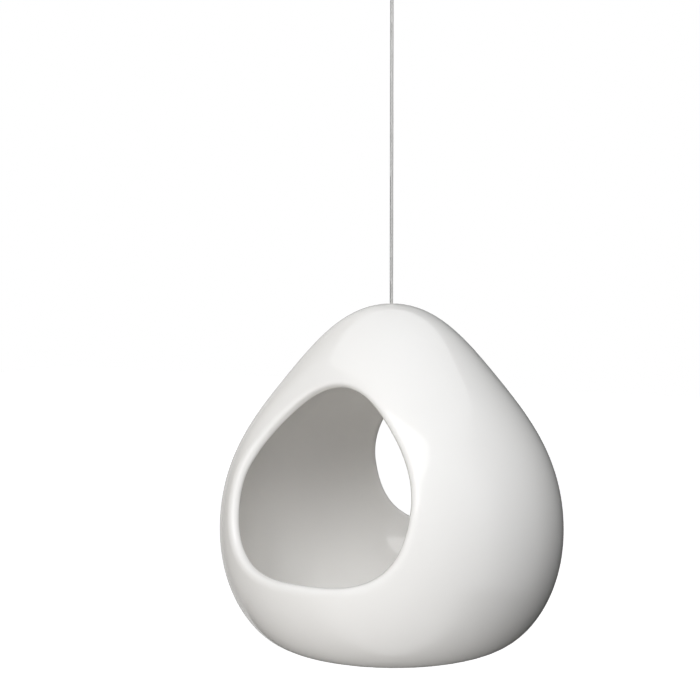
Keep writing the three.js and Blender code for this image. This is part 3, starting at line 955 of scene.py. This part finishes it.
def toned_round(card, tones):
    """Tones of a round card, given by degrees to the right of the camera."""
    nodes, links, glow = mirrored_only(card)
    place = nodes.new("ShaderNodeTexCoord")
    parts = nodes.new("ShaderNodeSeparateXYZ")
    links.new(place.outputs["Object"], parts.inputs["Vector"])
    angle = nodes.new("ShaderNodeMath")
    angle.operation = "ARCTAN2"
    links.new(parts.outputs["X"], angle.inputs[0])
    links.new(parts.outputs["Y"], angle.inputs[1])
    ramp = nodes.new("ShaderNodeValToRGB")
    links.new(ranged(nodes, links, angle.outputs[0], math.pi, -math.pi), ramp.inputs["Fac"])
    stops = ramp.color_ramp.elements
    while len(stops) < len(tones):
        stops.new(1)
    for stop, (side, tone) in zip(stops, tones.items()):
        stop.position = side / 360
        stop.color = (tone, tone, tone, 1)
    links.new(ramp.outputs["Color"], glow.inputs["Color"])


def reflection_cards():
    """A round wall and a floor sheet, grey and white in turn, that the glaze mirrors."""
    bottom = (BASE - FLOOR_DROP + CARD_LIFT) * MM
    turn = (0, 0, math.radians(VIEW_AZIMUTH))
    bpy.ops.object.select_all(action="DESELECT")
    bpy.ops.mesh.primitive_cylinder_add(
        vertices=CARD_SIDES, radius=CARD_RADIUS * MM, depth=CARD_TOP * MM - bottom,
        end_fill_type="NOTHING", location=(0, 0, (CARD_TOP * MM + bottom) / 2), rotation=turn)
    wall = bpy.context.object
    wall.name = "card_wall"
    toned_round(wall, WALL_TONES)
    bpy.ops.mesh.primitive_circle_add(
        vertices=CARD_SIDES, radius=CARD_RADIUS * MM, fill_type="TRIFAN",
        location=(0, 0, bottom), rotation=turn)
    sheet = bpy.context.object
    sheet.name = "card_sheet"
    toned_round(sheet, SHEET_TONES)


def highlight_panel():
    """The upright bright panel whose right edge shows beside the mouth."""
    bpy.ops.object.select_all(action="DESELECT")
    bpy.ops.mesh.primitive_plane_add(size=1, location=out_from_shell(*PANEL_PLACE))
    panel = bpy.context.object
    panel.name = "highlight_panel"
    panel.scale = (PANEL_WIDTH * MM, PANEL_HEIGHT * MM, 1)
    panel.rotation_euler = (SHELL_MIDDLE - panel.location).to_track_quat("Z", "Y").to_euler()
    *_, glow = mirrored_only(panel)
    glow.inputs["Strength"].default_value = PANEL_GLOW


def camera():
    """Turned without roll, so that the shell's middle lands on its pixel."""
    lens = bpy.data.cameras.new("camera")
    lens.sensor_width = SENSOR
    lens.lens = FOCAL_PIXELS / FRAME_SIDE * SENSOR
    holder = bpy.data.objects.new("camera", lens)
    bpy.context.scene.collection.objects.link(holder)
    holder.location = out_from_shell(0, VIEW_ELEVATION, VIEW_DISTANCE)
    across = (SHELL_PIXEL[0] - FRAME_SIDE / 2) / FOCAL_PIXELS
    above = (FRAME_SIDE / 2 - SHELL_PIXEL[1]) / FOCAL_PIXELS
    to_shell = (SHELL_MIDDLE - holder.location).normalized()
    spread = math.hypot(1, math.hypot(across, above))
    pitch = math.asin(spread * to_shell.z / math.hypot(1, above)) - math.atan(above)
    ahead = math.cos(pitch) - above * math.sin(pitch)
    heading = math.atan2(-to_shell.x, to_shell.y) + math.atan2(across, ahead)
    holder.rotation_euler = (math.pi / 2 + pitch, 0, heading)
    bpy.context.scene.camera = holder


def dress(piece, finish, slot, body, *nodes):
    """Gives a piece its finish, and lets it take the place of CAD nodes on a body. The slot is not used."""
    piece.data.materials.append(finish)
    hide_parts(*nodes)
    if body:
        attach(piece, body)


dress(make_shell(), glaze(), "white_glaze", "shell", "shell")
steel, aluminium, zinc, rubber = wire_steel(), crimp_aluminium(), washer_zinc(), cushion_rubber()
rope = make_rope()
dress(rope, steel, "wire_steel", None, "hanger_wire", "hanger_loop", "wire_tail")
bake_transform(rope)
dress(make_loop_sleeve(), aluminium, "crimp_aluminium", "hanger", "loop_ferrule")
dress(make_stop_sleeve(), aluminium, "crimp_aluminium", "stop", "stop_ferrule")
dress(make_washer(), zinc, "washer_steel", "stop", "backing_washer")
dress(make_cushion(), rubber, "cushion_rubber", "stop", "cushion_washer")

white_world()
floor()
for lamp_name, lamp_values in LAMPS.items():
    softbox(lamp_name, *lamp_values)
reflection_cards()
highlight_panel()
camera()
bpy.context.scene.view_settings.view_transform = "Standard"
